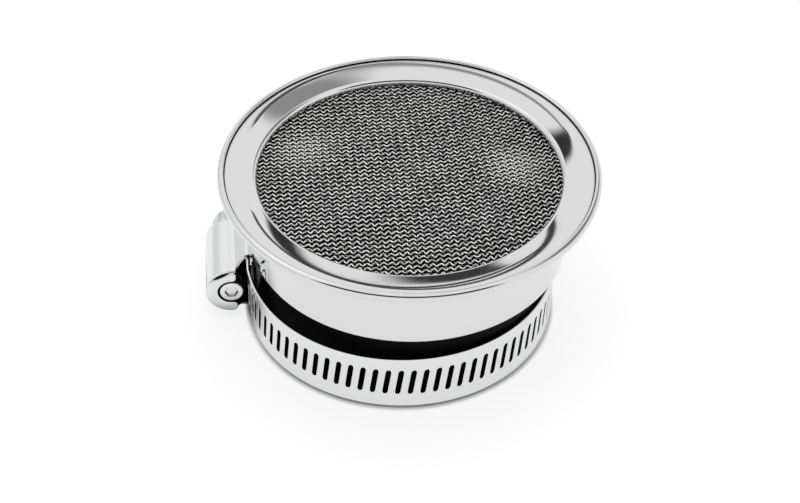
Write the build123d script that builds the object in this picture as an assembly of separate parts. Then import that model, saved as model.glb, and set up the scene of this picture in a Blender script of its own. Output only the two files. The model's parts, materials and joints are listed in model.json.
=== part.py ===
"""Bell mouth air filter: chrome shell, cover ring, wire mesh, rubber neck sleeve and worm drive clamp.

Millimetres, +Z up. The origin is the centre of the sleeve's bore on the plane that the part stands on.
"""
import math
import os

from build123d import *

# Shell: a pressed cup with a flared mouth and a rolled rim
SHELL_SHOULDER = 2.6
SHELL_SHEET = 0.6
SHELL_BASE_Z = 18.75
SHELL_HEIGHT = 16.8
SHELL_EDGE_R = 0.9
FLARE_WIDTH = 5.9
BEAD_R = 0.93
BEAD_LEAF = 0.3

# Cover ring: held in the rolled rim, with a lip turned down round the opening
RING_SHEET = 0.6
RING_WIDTH = 7.7
RING_LIP_DROP = 1.5
RING_FALL = 0.45
RING_BORDER = 0.7
RING_BORDER_STEP = 0.1
RING_HOLD = 0.1
RING_ROUND_R = 0.95

# Wire mesh: a coarse grid of crossed wires stands for the fine weave
WIRE_D = 0.36
GRID_PITCH = 6.6
GRID_WIRE_WIDTH = 2.6
WARP_ANGLE = 47.0
WEFT_ANGLE = 148.0

# Rubber sleeve: neck, flange inside the shell and a ledge that carries the foam
BORE_R = 27.5
SLEEVE_WALL = 2.0
FLANGE_THICKNESS = 2.0
FUNNEL_WIDTH = 2.6
FUNNEL_DROP = 3.0
LEDGE_Z = 14.0
LEDGE_THICKNESS = 1.0
LEDGE_WIDTH = 1.5
SLEEVE_EDGE_R = 0.6

# Filter foam
FOAM_THICKNESS = 2.8

# Clamp band: a loose strip that leans on the sleeve, with its tail lapped outside its head end
BAND_WIDTH = 12.7
BAND_THICKNESS = 0.6
BAND_SLACK = 1.79
BAND_LEAN_ANGLE = 159.4
BAND_LAP_GAP = 0.15
BAND_BEND_R = 6.0
BAND_BEND_PAST = 1.5
BAND_HEAD_INSET = 1.0
BAND_TAIL_SHORT = 1.0

# Slots of the band
SLOT_LENGTH = 6.5
SLOT_WIDTH = 1.05
SLOT_PITCH = 2.48
SLOT_SLANT = 7.0
SLOT_RISE = 0.2
SLOT_START_ANGLE = -4.0

# Clamp housing, measured from the screw's axis
HOUSING_ENTRY_ANGLE = 191.5
HOUSING_TOE = 6.0
HOUSING_LENGTH = 17.0
HOUSING_SHEET = 0.6
BARREL_R = 5.2
WING_START = 1.0
WING_ARCH_R = 3.6
FLANGE_WIDTH = 3.6
PLATE_THICKNESS = 0.9
PLATE_ARM = 1.1
PLATE_HOLE_R = 2.75
HOUSING_BEND_R = 0.7

# Clamp screw
JOURNAL_R = 2.4
RECESS_R = 1.3
RECESS_DEPTH = 0.4
WORM_CREST_R = 3.1
WORM_CORE_R = 2.2
WORM_CREST_WIDTH = 0.6
COLLAR_R = 3.9
COLLAR_THICKNESS = 1.2
HEAD_ACROSS_FLATS = 7.0
HEAD_LENGTH = 4.6
HEAD_CHAMFER = 0.8
HEAD_SLOT_WIDTH = 1.3
HEAD_SLOT_DEPTH = 1.4

# Clearances
SEAT_CLEARANCE = 0.08
SLEEVE_CLEARANCE = 0.2
SCREW_CLEARANCE = 0.3
FLOOR_CLEARANCE = 0.05

# Levels and radii that follow from the driving sizes
sleeve_r = BORE_R + SLEEVE_WALL
shell_wall_r = sleeve_r + SHELL_SHOULDER
rim_r = shell_wall_r + FLARE_WIDTH
rim_z = SHELL_BASE_Z + SHELL_HEIGHT
bead_centre_r = rim_r - BEAD_R
flare_r = bead_centre_r - shell_wall_r
flare_z = rim_z - BEAD_R - flare_r
flare_inner_r = flare_r + SHELL_SHEET
shell_inner_r = shell_wall_r - SHELL_SHEET
shell_hole_r = sleeve_r + SLEEVE_CLEARANCE
shell_floor_z = SHELL_BASE_Z + SHELL_SHEET
curl_r = BEAD_R - SHELL_SHEET

ring_opening_r = rim_r - RING_WIDTH
ring_top_z = rim_z + RING_SHEET / 2
ring_edge_z = ring_top_z - RING_FALL
ring_lip_z = ring_edge_z - RING_LIP_DROP
mesh_thickness = 2 * WIRE_D + SEAT_CLEARANCE
mesh_top_z = ring_lip_z - SEAT_CLEARANCE
mesh_base_z = mesh_top_z - mesh_thickness
seat_rise = mesh_base_z - SEAT_CLEARANCE - flare_z
mesh_r = bead_centre_r - math.sqrt(flare_inner_r**2 - seat_rise**2)

band_loop_r = sleeve_r + BAND_SLACK + BAND_THICKNESS / 2
band_lean = BAND_SLACK - SEAT_CLEARANCE
band_base_z = HOUSING_SHEET + SEAT_CLEARANCE + FLOOR_CLEARANCE
band_mid_z = band_base_z + BAND_WIDTH / 2
band_step = BAND_THICKNESS + BAND_LAP_GAP
axis_rise = BAND_THICKNESS / 2 + SCREW_CLEARANCE + WORM_CREST_R


def revolved(profile):
    """Turn a closed profile, drawn in the XZ plane, round the Z axis."""
    return revolve(Plane.XZ * make_face(profile), Axis.Z)


def polar(radius, degrees):
    """Point at a radius and an angle, in the plane of a sketch."""
    turn = math.radians(degrees)
    return Vector(radius * math.cos(turn), radius * math.sin(turn))


def bell_shell():
    """Cup with the wall's lower edge turned in and the mouth curled over the ring's edge."""
    edge_inner_r = SHELL_EDGE_R - SHELL_SHEET
    edge_centre = Vector(shell_wall_r - SHELL_EDGE_R, SHELL_BASE_Z + SHELL_EDGE_R)
    flare_centre = Vector(bead_centre_r, flare_z)
    bead_centre = Vector(bead_centre_r, rim_z)
    leaf_r = bead_centre_r - BEAD_LEAF
    edge_outer = CenterArc(edge_centre, SHELL_EDGE_R, -90, 90)
    edge_inner = CenterArc(edge_centre, edge_inner_r, -90, 90)
    flare_outer = CenterArc(flare_centre, flare_r, 180, -90)
    flare_inner = CenterArc(flare_centre, flare_inner_r, 180, -90)
    bead_outer = CenterArc(bead_centre, BEAD_R, -90, 180)
    bead_inner = CenterArc(bead_centre, curl_r, -90, 180)
    leaf_top = Line(bead_outer @ 1, (leaf_r, rim_z + BEAD_R))
    leaf_under = Line((leaf_r, rim_z + curl_r), bead_inner @ 1)
    leaf_end = Line(leaf_top @ 1, leaf_under @ 0)
    outline = [
        Line((shell_hole_r, SHELL_BASE_Z), edge_outer @ 0),
        edge_outer,
        Line(edge_outer @ 1, flare_outer @ 0),
        flare_outer,
        bead_outer,
        leaf_top,
        leaf_end,
        leaf_under,
        bead_inner,
        flare_inner,
        Line(flare_inner @ 0, edge_inner @ 1),
        edge_inner,
        Line(edge_inner @ 0, (shell_hole_r, shell_floor_z)),
        Line((shell_hole_r, shell_floor_z), (shell_hole_r, SHELL_BASE_Z)),
    ]
    return revolved(outline)


def cover_ring():
    """Pressed ring: edge held in the curl, raised border, gentle fall and a lip turned down."""
    outer_r = bead_centre_r + RING_HOLD
    border_r = bead_centre_r - BEAD_LEAF - RING_BORDER
    under_z = ring_top_z - RING_SHEET
    round_r = ring_opening_r + RING_ROUND_R
    lip_outer_r = ring_opening_r + RING_SHEET
    under_round_r = RING_ROUND_R - RING_SHEET
    round_z = ring_edge_z - RING_ROUND_R
    step_z = ring_top_z - RING_BORDER_STEP
    top = Polyline((outer_r, ring_top_z), (border_r, ring_top_z), (border_r, step_z), (round_r, ring_edge_z))
    bend_top = CenterArc((round_r, round_z), RING_ROUND_R, 90, 90)
    lip = Polyline(bend_top @ 1, (ring_opening_r, ring_lip_z), (lip_outer_r, ring_lip_z), (lip_outer_r, round_z))
    bend_under = CenterArc((round_r, round_z), under_round_r, 180, -90)
    under = Polyline(bend_under @ 1, (border_r, under_z), (outer_r, under_z), (outer_r, ring_top_z))
    return revolved([top, bend_top, lip, bend_under, under])


def crossed_wires(angle, base_z):
    """One family of parallel wires at an angle in the mesh plane, trimmed round."""
    count = math.ceil(mesh_r / GRID_PITCH)
    rows = [(row + 0.5) * GRID_PITCH for row in range(-count, count)]
    disc = Circle(mesh_r)
    flat_wires = [disc & (Pos(0, row) * Rectangle(2 * mesh_r, GRID_WIRE_WIDTH)) for row in rows]
    return [Pos(0, 0, base_z) * Rot(0, 0, angle) * extrude(wire, WIRE_D) for wire in flat_wires]


def wire_mesh():
    """Two families of loose wires, one lying over the other."""
    warp = crossed_wires(WARP_ANGLE, mesh_base_z)
    weft = crossed_wires(WEFT_ANGLE, mesh_top_z - WIRE_D)
    return Compound(children=[*warp, *weft])


def rubber_sleeve():
    """Moulded neck with a flange on the shell's turned-in edge, a lead-in funnel and an inner ledge."""
    flange_r = shell_inner_r - SLEEVE_CLEARANCE
    flange_top_z = shell_floor_z + FLANGE_THICKNESS
    relief = SHELL_EDGE_R - SHELL_SHEET
    funnel_z = flange_top_z - FUNNEL_DROP
    ledge_r = BORE_R - LEDGE_WIDTH
    ledge_top_z = LEDGE_Z + LEDGE_THICKNESS
    foot = [(BORE_R, 0), (sleeve_r, 0), (sleeve_r, shell_floor_z)]
    flange = [(flange_r - relief, shell_floor_z), (flange_r, shell_floor_z + relief), (flange_r, flange_top_z)]
    funnel = [(BORE_R + FUNNEL_WIDTH, flange_top_z), (BORE_R, funnel_z)]
    ledge = [(BORE_R, ledge_top_z), (ledge_r, ledge_top_z), (ledge_r, LEDGE_Z), (BORE_R, LEDGE_Z)]
    sleeve = revolved(Polyline(*foot, *flange, *funnel, *ledge, close=True))
    lower_edges = sleeve.edges().filter_by(GeomType.CIRCLE).group_by(Axis.Z)[0]
    return fillet(lower_edges.sort_by(SortBy.RADIUS)[-1], SLEEVE_EDGE_R)


def filter_foam():
    """Foam disc on the sleeve's ledge."""
    foam = Cylinder(BORE_R - SLEEVE_CLEARANCE, FOAM_THICKNESS, align=(Align.CENTER, Align.CENTER, Align.MIN))
    return Pos(0, 0, LEDGE_Z + LEDGE_THICKNESS) * foam


# Frame of the clamp: X along the screw towards its head, Y outwards from the band, Z up
loop_centre = polar(band_lean, BAND_LEAN_ANGLE)
entry = loop_centre + polar(band_loop_r, HOUSING_ENTRY_ANGLE)
along = polar(1, 90 + HOUSING_TOE)
outward = polar(1, 180 + HOUSING_TOE)
axis_start = entry + outward * axis_rise
clamp_plane = Plane(
    origin=(axis_start.X, axis_start.Y, band_mid_z),
    x_dir=(along.X, along.Y, 0),
    z_dir=(0, 0, 1),
)
tail_length = HOUSING_LENGTH - BAND_TAIL_SHORT


def band_path():
    """Middle line of the strip: head end, back arc, front arc, then the tail over the head end."""
    head_line = entry - outward * band_step
    head_start = head_line + along * BAND_HEAD_INSET
    head_exit = head_line + along * (HOUSING_LENGTH + BAND_BEND_PAST)
    right_end = loop_centre + Vector(band_loop_r, 0)
    run = right_end.X - head_exit.X
    rise = head_exit.Y - right_end.Y
    back_r = (run**2 + rise**2) / (2 * run)
    back_centre = right_end - Vector(back_r, 0)
    back_angle = 180 - math.degrees(math.asin(rise / back_r))
    front_sweep = 360 - HOUSING_ENTRY_ANGLE
    path = Wire([
        Line(head_start, head_exit),
        CenterArc(back_centre, back_r, back_angle, -back_angle),
        CenterArc(loop_centre, band_loop_r, 0, -front_sweep),
        Line(entry, entry + along * tail_length),
    ])
    bends = [path.vertices().sort_by_distance(point)[0] for point in (head_exit, entry)]
    return path.fillet_2d(BAND_BEND_R, bends)


def slot_places():
    """Planes on the strip's middle line, one for each slot of the front arc and of the tail."""
    front_sweep = 360 - HOUSING_ENTRY_ANGLE + SLOT_START_ANGLE
    count = int(math.radians(front_sweep) * band_loop_r / SLOT_PITCH)
    step = math.degrees(SLOT_PITCH / band_loop_r)
    height = Vector(0, 0, band_mid_z + SLOT_RISE)
    places = []
    for index in range(count):
        angle = SLOT_START_ANGLE - index * step
        point = loop_centre + polar(band_loop_r, angle) + height
        places.append(Plane(origin=point, x_dir=polar(1, angle + 90), z_dir=polar(1, angle)))
    for index in range(int(tail_length / SLOT_PITCH) - 1):
        point = entry + along * ((index + 1.0) * SLOT_PITCH) + height
        places.append(Plane(origin=point, x_dir=-along, z_dir=outward))
    return places


def clamp_band():
    """Strip of the band's width, with slanted slots through the front arc and the tail."""
    ribbon = make_face(band_path().offset_2d(BAND_THICKNESS / 2, side=Side.BOTH))
    strip = Pos(0, 0, band_base_z) * extrude(ribbon, BAND_WIDTH)
    slot = Rot(0, 0, -SLOT_SLANT) * Rectangle(SLOT_WIDTH, SLOT_LENGTH)
    reach = (BAND_THICKNESS + BAND_LAP_GAP) / 2
    cutter = extrude(slot, reach, both=True)
    return strip.cut(*[place * cutter for place in slot_places()])


def housing_section():
    """Folded sheet seen along the screw: barrel over the worm, wings out to the band's edges, flanges under it."""
    mid_r = BARREL_R - HOUSING_SHEET / 2
    wing_z = BAND_WIDTH / 2 + SEAT_CLEARANCE + HOUSING_SHEET / 2
    band_top = -(SCREW_CLEARANCE + WORM_CREST_R)
    under = band_top - BAND_THICKNESS - band_step - SEAT_CLEARANCE - HOUSING_SHEET / 2
    upper = Polyline((0, mid_r), (-WING_START, mid_r), (band_top, wing_z), (under, wing_z), (under, wing_z - FLANGE_WIDTH))
    lower = mirror(upper, Plane.XZ)
    barrel = CenterArc((0, 0), mid_r, 90, -180)
    path = Wire([*upper.edges(), *lower.edges(), barrel])
    corners = [point for point in path.vertices() if -mid_r < under < point.X + HOUSING_SHEET < 0]
    corners = [point for point in corners if abs(point.Y) > mid_r - HOUSING_SHEET]
    rounded = path.fillet_2d(HOUSING_BEND_R, corners)
    return make_face(rounded.offset_2d(HOUSING_SHEET / 2, side=Side.BOTH))


def clamp_housing():
    """Barrel and wings with the wings' front arched back, and an end plate open towards the band."""
    section_plane = Plane(origin=(0, 0, 0), x_dir=(0, 1, 0), z_dir=(1, 0, 0))
    body = extrude(section_plane * housing_section(), HOUSING_LENGTH)
    wing_front = -(WING_START + WING_ARCH_R)
    arch = Cylinder(WING_ARCH_R, 2 * BAND_WIDTH)
    body -= Pos(0, wing_front, 0) * arch
    outline = Circle(BARREL_R) + Pos(-PLATE_ARM / 2, 0) * Rectangle(PLATE_ARM, 2 * BARREL_R)
    mouth = Pos(-BARREL_R / 2, 0) * Rectangle(BARREL_R, 2 * PLATE_HOLE_R)
    keep = Pos((BARREL_R - PLATE_ARM) / 2, 0) * Rectangle(BARREL_R + PLATE_ARM, 2 * BARREL_R)
    plate = (outline & keep) - Circle(PLATE_HOLE_R) - mouth
    return body + extrude(section_plane * plate, PLATE_THICKNESS)


def worm_thread():
    """Helical crest of the worm between the end plate and the collar."""
    start = PLATE_THICKNESS + SCREW_CLEARANCE + SLOT_PITCH / 2
    length = HOUSING_LENGTH - start - SLOT_PITCH
    path = Helix(SLOT_PITCH, length, WORM_CORE_R)
    root_r = WORM_CORE_R - SEAT_CLEARANCE
    half_crest = WORM_CREST_WIDTH / 2
    section = Plane.XZ * make_face(
        Polyline((root_r, -WORM_CREST_WIDTH), (WORM_CREST_R, -half_crest), (WORM_CREST_R, half_crest),
                 (root_r, WORM_CREST_WIDTH), close=True)
    )
    crest = sweep(section, path=path, is_frenet=True)
    return Plane(origin=(start, 0, 0), z_dir=(1, 0, 0)) * crest


def clamp_screw():
    """Journal with a hexagonal recess, worm, collar and slotted hexagon head, along the clamp's X."""
    along_screw = Plane(origin=(0, 0, 0), z_dir=(1, 0, 0))
    standing = (Align.CENTER, Align.CENTER, Align.MIN)
    shank_start = PLATE_THICKNESS + SCREW_CLEARANCE
    collar_start = HOUSING_LENGTH + SCREW_CLEARANCE
    head_start = collar_start + COLLAR_THICKNESS
    journal = Cylinder(JOURNAL_R, shank_start, align=standing)
    shank = Pos(0, 0, shank_start) * Cylinder(WORM_CORE_R, collar_start - shank_start, align=standing)
    collar = Pos(0, 0, collar_start) * Cylinder(COLLAR_R, COLLAR_THICKNESS, align=standing)
    hexagon = RegularPolygon(HEAD_ACROSS_FLATS / 2, 6, major_radius=False)
    head = Pos(0, 0, head_start) * extrude(hexagon, HEAD_LENGTH)
    head_end = head_start + HEAD_LENGTH
    corner_r = HEAD_ACROSS_FLATS / math.sqrt(3)
    dome = Pos(0, 0, head_start) * Cylinder(corner_r, HEAD_LENGTH, align=standing)
    dome = chamfer(dome.edges().group_by(Axis.Z)[-1], HEAD_CHAMFER)
    slot = Pos(0, 0, head_end) * Box(2 * corner_r, HEAD_SLOT_WIDTH, 2 * HEAD_SLOT_DEPTH)
    recess = extrude(RegularPolygon(RECESS_R, 6), RECESS_DEPTH)
    turned = journal + shank + collar + (head & dome) - slot - recess
    return along_screw * turned + worm_thread()


nodes = {
    "bell_shell": bell_shell(),
    "cover_ring": cover_ring(),
    "wire_mesh": wire_mesh(),
    "rubber_sleeve": rubber_sleeve(),
    "filter_foam": filter_foam(),
    "clamp_band": clamp_band(),
    "clamp_housing": clamp_plane * clamp_housing(),
    "clamp_screw": clamp_plane * clamp_screw(),
}

os.makedirs("parts", exist_ok=True)
for name, solid in nodes.items():
    export_step(solid, f"parts/{name}.step")
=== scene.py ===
"""Bell mouth air filter with a loose worm drive clamp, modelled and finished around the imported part."""

import json
import math

import bmesh
import bpy
from bpy.props import FloatProperty, FloatVectorProperty, IntProperty, PointerProperty
from bpy.types import Operator, Panel, PropertyGroup
from mathutils import Matrix, Vector


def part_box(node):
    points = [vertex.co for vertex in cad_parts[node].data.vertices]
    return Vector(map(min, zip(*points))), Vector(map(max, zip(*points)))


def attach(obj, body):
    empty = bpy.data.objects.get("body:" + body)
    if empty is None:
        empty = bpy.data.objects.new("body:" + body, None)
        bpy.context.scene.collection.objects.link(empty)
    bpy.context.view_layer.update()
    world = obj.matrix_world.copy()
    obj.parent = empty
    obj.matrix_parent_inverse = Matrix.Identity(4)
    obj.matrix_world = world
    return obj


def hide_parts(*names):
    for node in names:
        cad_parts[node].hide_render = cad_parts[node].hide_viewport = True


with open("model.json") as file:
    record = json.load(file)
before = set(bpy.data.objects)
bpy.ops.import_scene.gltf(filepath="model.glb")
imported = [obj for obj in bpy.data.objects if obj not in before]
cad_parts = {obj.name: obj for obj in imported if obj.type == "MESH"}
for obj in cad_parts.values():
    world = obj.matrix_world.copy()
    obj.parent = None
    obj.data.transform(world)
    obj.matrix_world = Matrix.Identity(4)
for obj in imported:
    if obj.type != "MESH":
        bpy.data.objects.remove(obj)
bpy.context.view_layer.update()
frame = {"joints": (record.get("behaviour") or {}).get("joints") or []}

bl_info = {
    "name": "Bell mouth air filter",
    "version": (1, 0, 0),
    "blender": (4, 5, 0),
    "location": "View3D > Sidebar > Air filter",
    "description": "Models a chrome bell mouth air filter with its mesh, sleeve and worm drive clamp",
    "category": "Add Mesh",
}

MM = 0.001
UP = Vector((0, 0, 1))
WHITE = (1, 1, 1, 1)
SCREW_JOINT = frame["joints"][0]

NEAR = 0.01 * MM  # points this close to a line or a plane lie on it
MERGED = 0.001 * MM  # points this close to each other become one
ROUND_STEPS = 224  # steps round the large turned pieces
TURNED_EDGE = math.radians(35)  # turned pieces are shaded smooth over edges flatter than this
FOLDED_EDGE = math.radians(40)  # and so are pieces of folded sheet over these
SHARP_EDGE = math.radians(50)  # edges sharper than this are rounded

# Grey cards round the studio: name, start, end, width at the start and at the end, and level of grey.
# A start or an end is a pair of azimuth, from the back to the right, and elevation, in degrees as the widths are.
CARDS = (
    ("card_front", (125, 42), (235, 42), 46, 46, 0.04),
    ("card_right", (20, 42), (80, 42), 44, 44, 0.3),
    ("card_left", (-125, 14), (-30, 14), 32, 32, 0.8),
    ("card_key", (-84, 60), (-36, 60), 34, 34, 1.4),
    ("card_grey", (-0.6, 41.8), (7.3, 49.8), 0.4, 12.4, 0.34),
    ("card_high", (0.4, 41.6), (-7.6, 42.5), 0.5, 6.8, 0.04),
    ("card_low_left", (2.0, 35.8), (-5.0, 32.6), 1.0, 1.8, 0.05),
    ("card_low_right", (-0.2, 34.5), (5.8, 30.1), 0.5, 7.2, 0.04),
    ("card_low", (0.1, 33.2), (-1.1, 24.0), 0.35, 6.0, 0.05),
)


def length(name, description, millimetres):
    """A length in the sidebar, with its default given in millimetres."""
    default = millimetres * MM
    return FloatProperty(name=name, description=description, default=default, unit="LENGTH", precision=5)


def angle(name, description, degrees):
    """An angle in the sidebar, with its default given in degrees."""
    return FloatProperty(name=name, description=description, default=math.radians(degrees), subtype="ANGLE")


def share(name, description, value):
    """A plain number from 0 to 1 in the sidebar."""
    return FloatProperty(name=name, description=description, default=value, subtype="FACTOR", min=0, max=1)


def colour(name, description, value):
    """A colour in the sidebar."""
    return FloatVectorProperty(
        name=name, description=description, default=value, subtype="COLOR", min=0, max=1
    )


def location(name, description, millimetres):
    """A place in the sidebar, with its default given in millimetres from the part's origin."""
    default = [value * MM for value in millimetres]
    return FloatVectorProperty(
        name=name, description=description, default=default, subtype="TRANSLATION", unit="LENGTH", precision=5
    )


class ShellSizes(PropertyGroup):
    """Sizes of the pressed shell that its place in the frame doesn't give."""

    wall_radius: length("Wall radius", "Outside radius of the straight wall", 32.1)
    sheet: length("Sheet", "Thickness of the pressed sheet", 0.6)
    bead_radius: length("Bead radius", "Radius of the rolled rim", 0.93)
    leaf: length("Leaf", "How far the rolled rim reaches over the ring", 0.06)
    edge_radius: length("Edge radius", "Radius of the turned-in lower edge", 0.9)
    hole_radius: length("Hole radius", "Radius of the hole for the sleeve", 29.7)


class RingSizes(PropertyGroup):
    """Sizes of the cover ring."""

    sheet: length("Sheet", "Thickness of the ring", 0.6)
    opening_radius: length("Opening radius", "Radius of the opening over the mesh", 30.3)
    round_radius: length("Round radius", "Radius of the bend into the lip", 0.95)
    border: length("Border", "Width of the raised border beside the rim", 0.75)
    border_step: length("Border step", "Height of the border above the ring", 0.1)
    # The seam's width sets where the ring's painted shade by the rim starts.
    seam: length("Seam", "From the border's step to the grime in the seam", 0.2)
    outer_slope: angle("Outer slope", "Fall of the ring beside its border", 3.0)
    inner_slope: angle("Inner slope", "Fall of the ring beside its lip", 8.0)


class MeshSizes(PropertyGroup):
    """Sizes of the wire mesh, whose rows of zigzag wire lie in two layers."""

    wire: length("Wire", "Diameter of the wire", 0.34)
    pitch: length("Pitch", "Length of one zigzag", 1.54)
    sway: length("Sway", "How far a zigzag goes to each side", 0.42)
    spacing: length("Spacing", "Distance from row to row in one layer", 1.27)
    heading: angle("Heading", "Direction in which the rows run up to the middle", 6.0)
    bow: length("Bow", "How far the rows have bent at the mesh's right edge", 9.0)
    wander: length("Wander", "How far a row strays from its line", 0.07)
    steps: IntProperty(name="Steps", description="Points on each zigzag", default=8)
    # The two gleams are painted highlights on the wire, and the spots that the two shares after them brighten are
    # painted glints.
    left_gleam: location("Left gleam", "Middle of the polished patch on the left", (-21.2, 8.1, 0))
    right_gleam: location("Right gleam", "Middle of the polished patch on the right", (20.6, 4.4, 0))
    gleam: length("Gleam", "Radius of the polished patches", 8.5)
    left_highlight: share("Left polish", "How bright the polished patch on the left is", 0.8)
    upper_glint: share("Upper wear", "How bright the worn spots of the upper layer are", 1.0)
    lower_glint: share("Lower wear", "How bright the worn spots of the lower layer are", 0.2)


class SleeveSizes(PropertyGroup):
    """Sizes of the rubber sleeve and the foam in it."""

    bore_radius: length("Bore radius", "Radius of the neck's bore", 27.5)
    wall: length("Wall", "Thickness of the neck", 2.0)
    flange: length("Flange", "Thickness of the flange inside the shell", 2.0)
    funnel_width: length("Funnel width", "Width of the lead-in at the top of the bore", 2.6)
    funnel_drop: length("Funnel drop", "Depth of the lead-in", 3.0)
    ledge_width: length("Ledge width", "Width of the ledge under the foam", 1.5)
    ledge_thickness: length("Ledge thickness", "Thickness of the ledge", 1.0)
    edge_radius: length("Edge radius", "Rounding of the sleeve's edges", 0.6)


class BandSizes(PropertyGroup):
    """Sizes of the clamp's band."""

    thickness: length("Thickness", "Thickness of the strip", 0.6)
    axis_rise: length("Axis rise", "From the middle of the strip's tail to the screw's axis", 3.7)
    lean: length("Lean", "From the bore's axis to the middle of the loop", 1.71)
    lean_angle: angle("Lean angle", "Direction in which the loop lies off centre", 159.4)
    lap_gap: length("Lap gap", "Gap between the head end and the tail", 0.15)
    bend_radius: length("Bend radius", "Radius of the bends beside the housing", 6.0)
    bend_past: length("Bend past", "From the housing's end to the bend behind it", 1.5)
    head_inset: length("Head inset", "From the housing's front to the strip's head end", 1.0)
    tail_short: length("Tail short", "From the strip's tail to the housing's end", 1.0)
    slot_length: length("Slot length", "Height of a slot", 6.5)
    slot_pitch: length("Slot pitch", "Distance from slot to slot", 2.48)
    slot_rise: length("Slot rise", "Height of the slots above the strip's middle", 0.2)
    slot_slant: angle("Slot slant", "Lean of the slots", 7.0)
    slot_start: angle("Slot start", "From the right end of the loop to the first slot", 4.0)
    edge_round: length("Edge rounding", "Rounding of the strip's edges", 0.06)


class HousingSizes(PropertyGroup):
    """Sizes of the folded housing, measured from the screw's axis."""

    sheet: length("Sheet", "Thickness of the folded sheet", 0.6)
    body_length: length("Length", "Length along the screw", 17.0)
    front_inset: length("Front inset", "From the end plate's face to the barrel's front edge", 0.7)
    barrel_radius: length("Barrel radius", "Outside radius over the worm", 5.2)
    wing_start: length("Wing start", "Where the wings leave the barrel, behind the axis", 1.0)
    wing_arch: length("Wing arch", "Radius of the arched front edge of the wings", 3.6)
    clearance: length("Clearance", "Gap between the sheet and the strip's edges", 0.08)
    flange: length("Flange", "Width of the flanges under the strip", 3.6)
    plate: length("Plate", "Thickness of the end plate", 0.9)
    plate_hole: length("Plate hole", "Radius of the hole for the screw", 2.75)
    plate_arm: length("Plate arm", "Reach of the end plate's arms behind the axis", 1.1)
    arm_round: length("Arm rounding", "Rounding of the arms' ends", 0.9)
    crescent: length("Crescent", "Widest gap between the barrel and the plate's upper edge", 0.95)
    crescent_start: angle("Crescent start", "Where the gap starts, from the top towards the outside", -12.0)
    crescent_end: angle("Crescent end", "Where the gap ends, from the top towards the outside", 66.0)
    sheet_round: length("Sheet rounding", "Rounding of the folded sheet's edges", 0.12)
    plate_round: length("Plate rounding", "Rounding of the end plate's edges", 0.16)


class ScrewSizes(PropertyGroup):
    """Sizes of the worm screw, measured along it from its tail."""

    journal_radius: length("Journal radius", "Radius of the tail in the end plate", 2.4)
    journal_length: length("Journal length", "Length of the tail", 1.2)
    recess: length("Recess", "Corner radius of the hexagonal recess in the tail", 1.5)
    recess_depth: length("Recess depth", "Depth of the recess", 0.45)
    recess_slant: share("Recess slant", "How much narrower the recess gets down to its floor", 0.25)
    core_radius: length("Core radius", "Radius between the threads", 2.2)
    crest_radius: length("Crest radius", "Radius over the threads", 3.1)
    crest_width: length("Crest width", "Width of a thread's crest", 0.6)
    turns: IntProperty(name="Turns", description="Turns of the thread", default=5)
    collar_start: length("Collar start", "Where the collar starts", 17.3)
    collar_radius: length("Collar radius", "Radius of the collar", 3.9)
    collar_thickness: length("Collar thickness", "Thickness of the collar", 1.2)
    head_corner: length("Head corner", "Corner radius of the hexagon head", 4.04)
    head_length: length("Head length", "Length of the head", 4.6)
    head_softness: length("Head softness", "Width taken off the hexagon's corners", 1.2)
    head_dome: length("Head dome", "Rounding of the head's end", 1.5)
    head_foot: length("Head foot", "Rounding of the head beside the collar", 1.2)
    head_slot: length("Head slot", "Width of the slot in the head", 1.3)
    head_slot_depth: length("Head slot depth", "Depth of the slot", 1.4)
    head_round: length("Head rounding", "Rounding of the slot's and the end's edges", 0.08)


class Finishes(PropertyGroup):
    """Colours of the finishes."""

    chrome: colour("Chrome", "Polished plate of the shell and ring", (0.71, 0.71, 0.715))
    # Painted shade in the seam between the rim and the ring.
    seam: colour("Seam", "Grime in the seam between the rim and the ring", (0.03, 0.03, 0.03))
    # The two layers are the same wire: the upper one lit, the lower one darker as painted shade.
    wire: colour("Wire", "Drawn wire in the mesh's upper layer", (0.48, 0.478, 0.474))
    shaded_wire: colour("Dull wire", "Drawn wire in the mesh's lower layer", (0.045, 0.045, 0.0445))
    # Colour of the painted highlights and glints on the wire.
    highlight_wire: colour("Polished wire", "Wire in the polished patches", (0.95, 0.947, 0.94))
    rubber: colour("Rubber", "Black of the sleeve", (0.0015, 0.0015, 0.0016))
    foam: colour("Foam", "Black of the filter foam", (0.004, 0.004, 0.0044))
    strip: colour("Strip", "Rolled steel of the band", (0.78, 0.785, 0.785))
    zinc: colour("Zinc", "Plate of the housing and screw", (0.78, 0.8, 0.796))
    # Painted shade: the housing's zinc plate, drawn darker on the head.
    head: colour("Head", "Plate of the screw's head", (0.6, 0.62, 0.615))
    # Painted shade on the clamp's hidden sides.
    painted_shade: colour("Oil", "Old oil on the hidden sides of the clamp", (0.012, 0.014, 0.0135))


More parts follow.
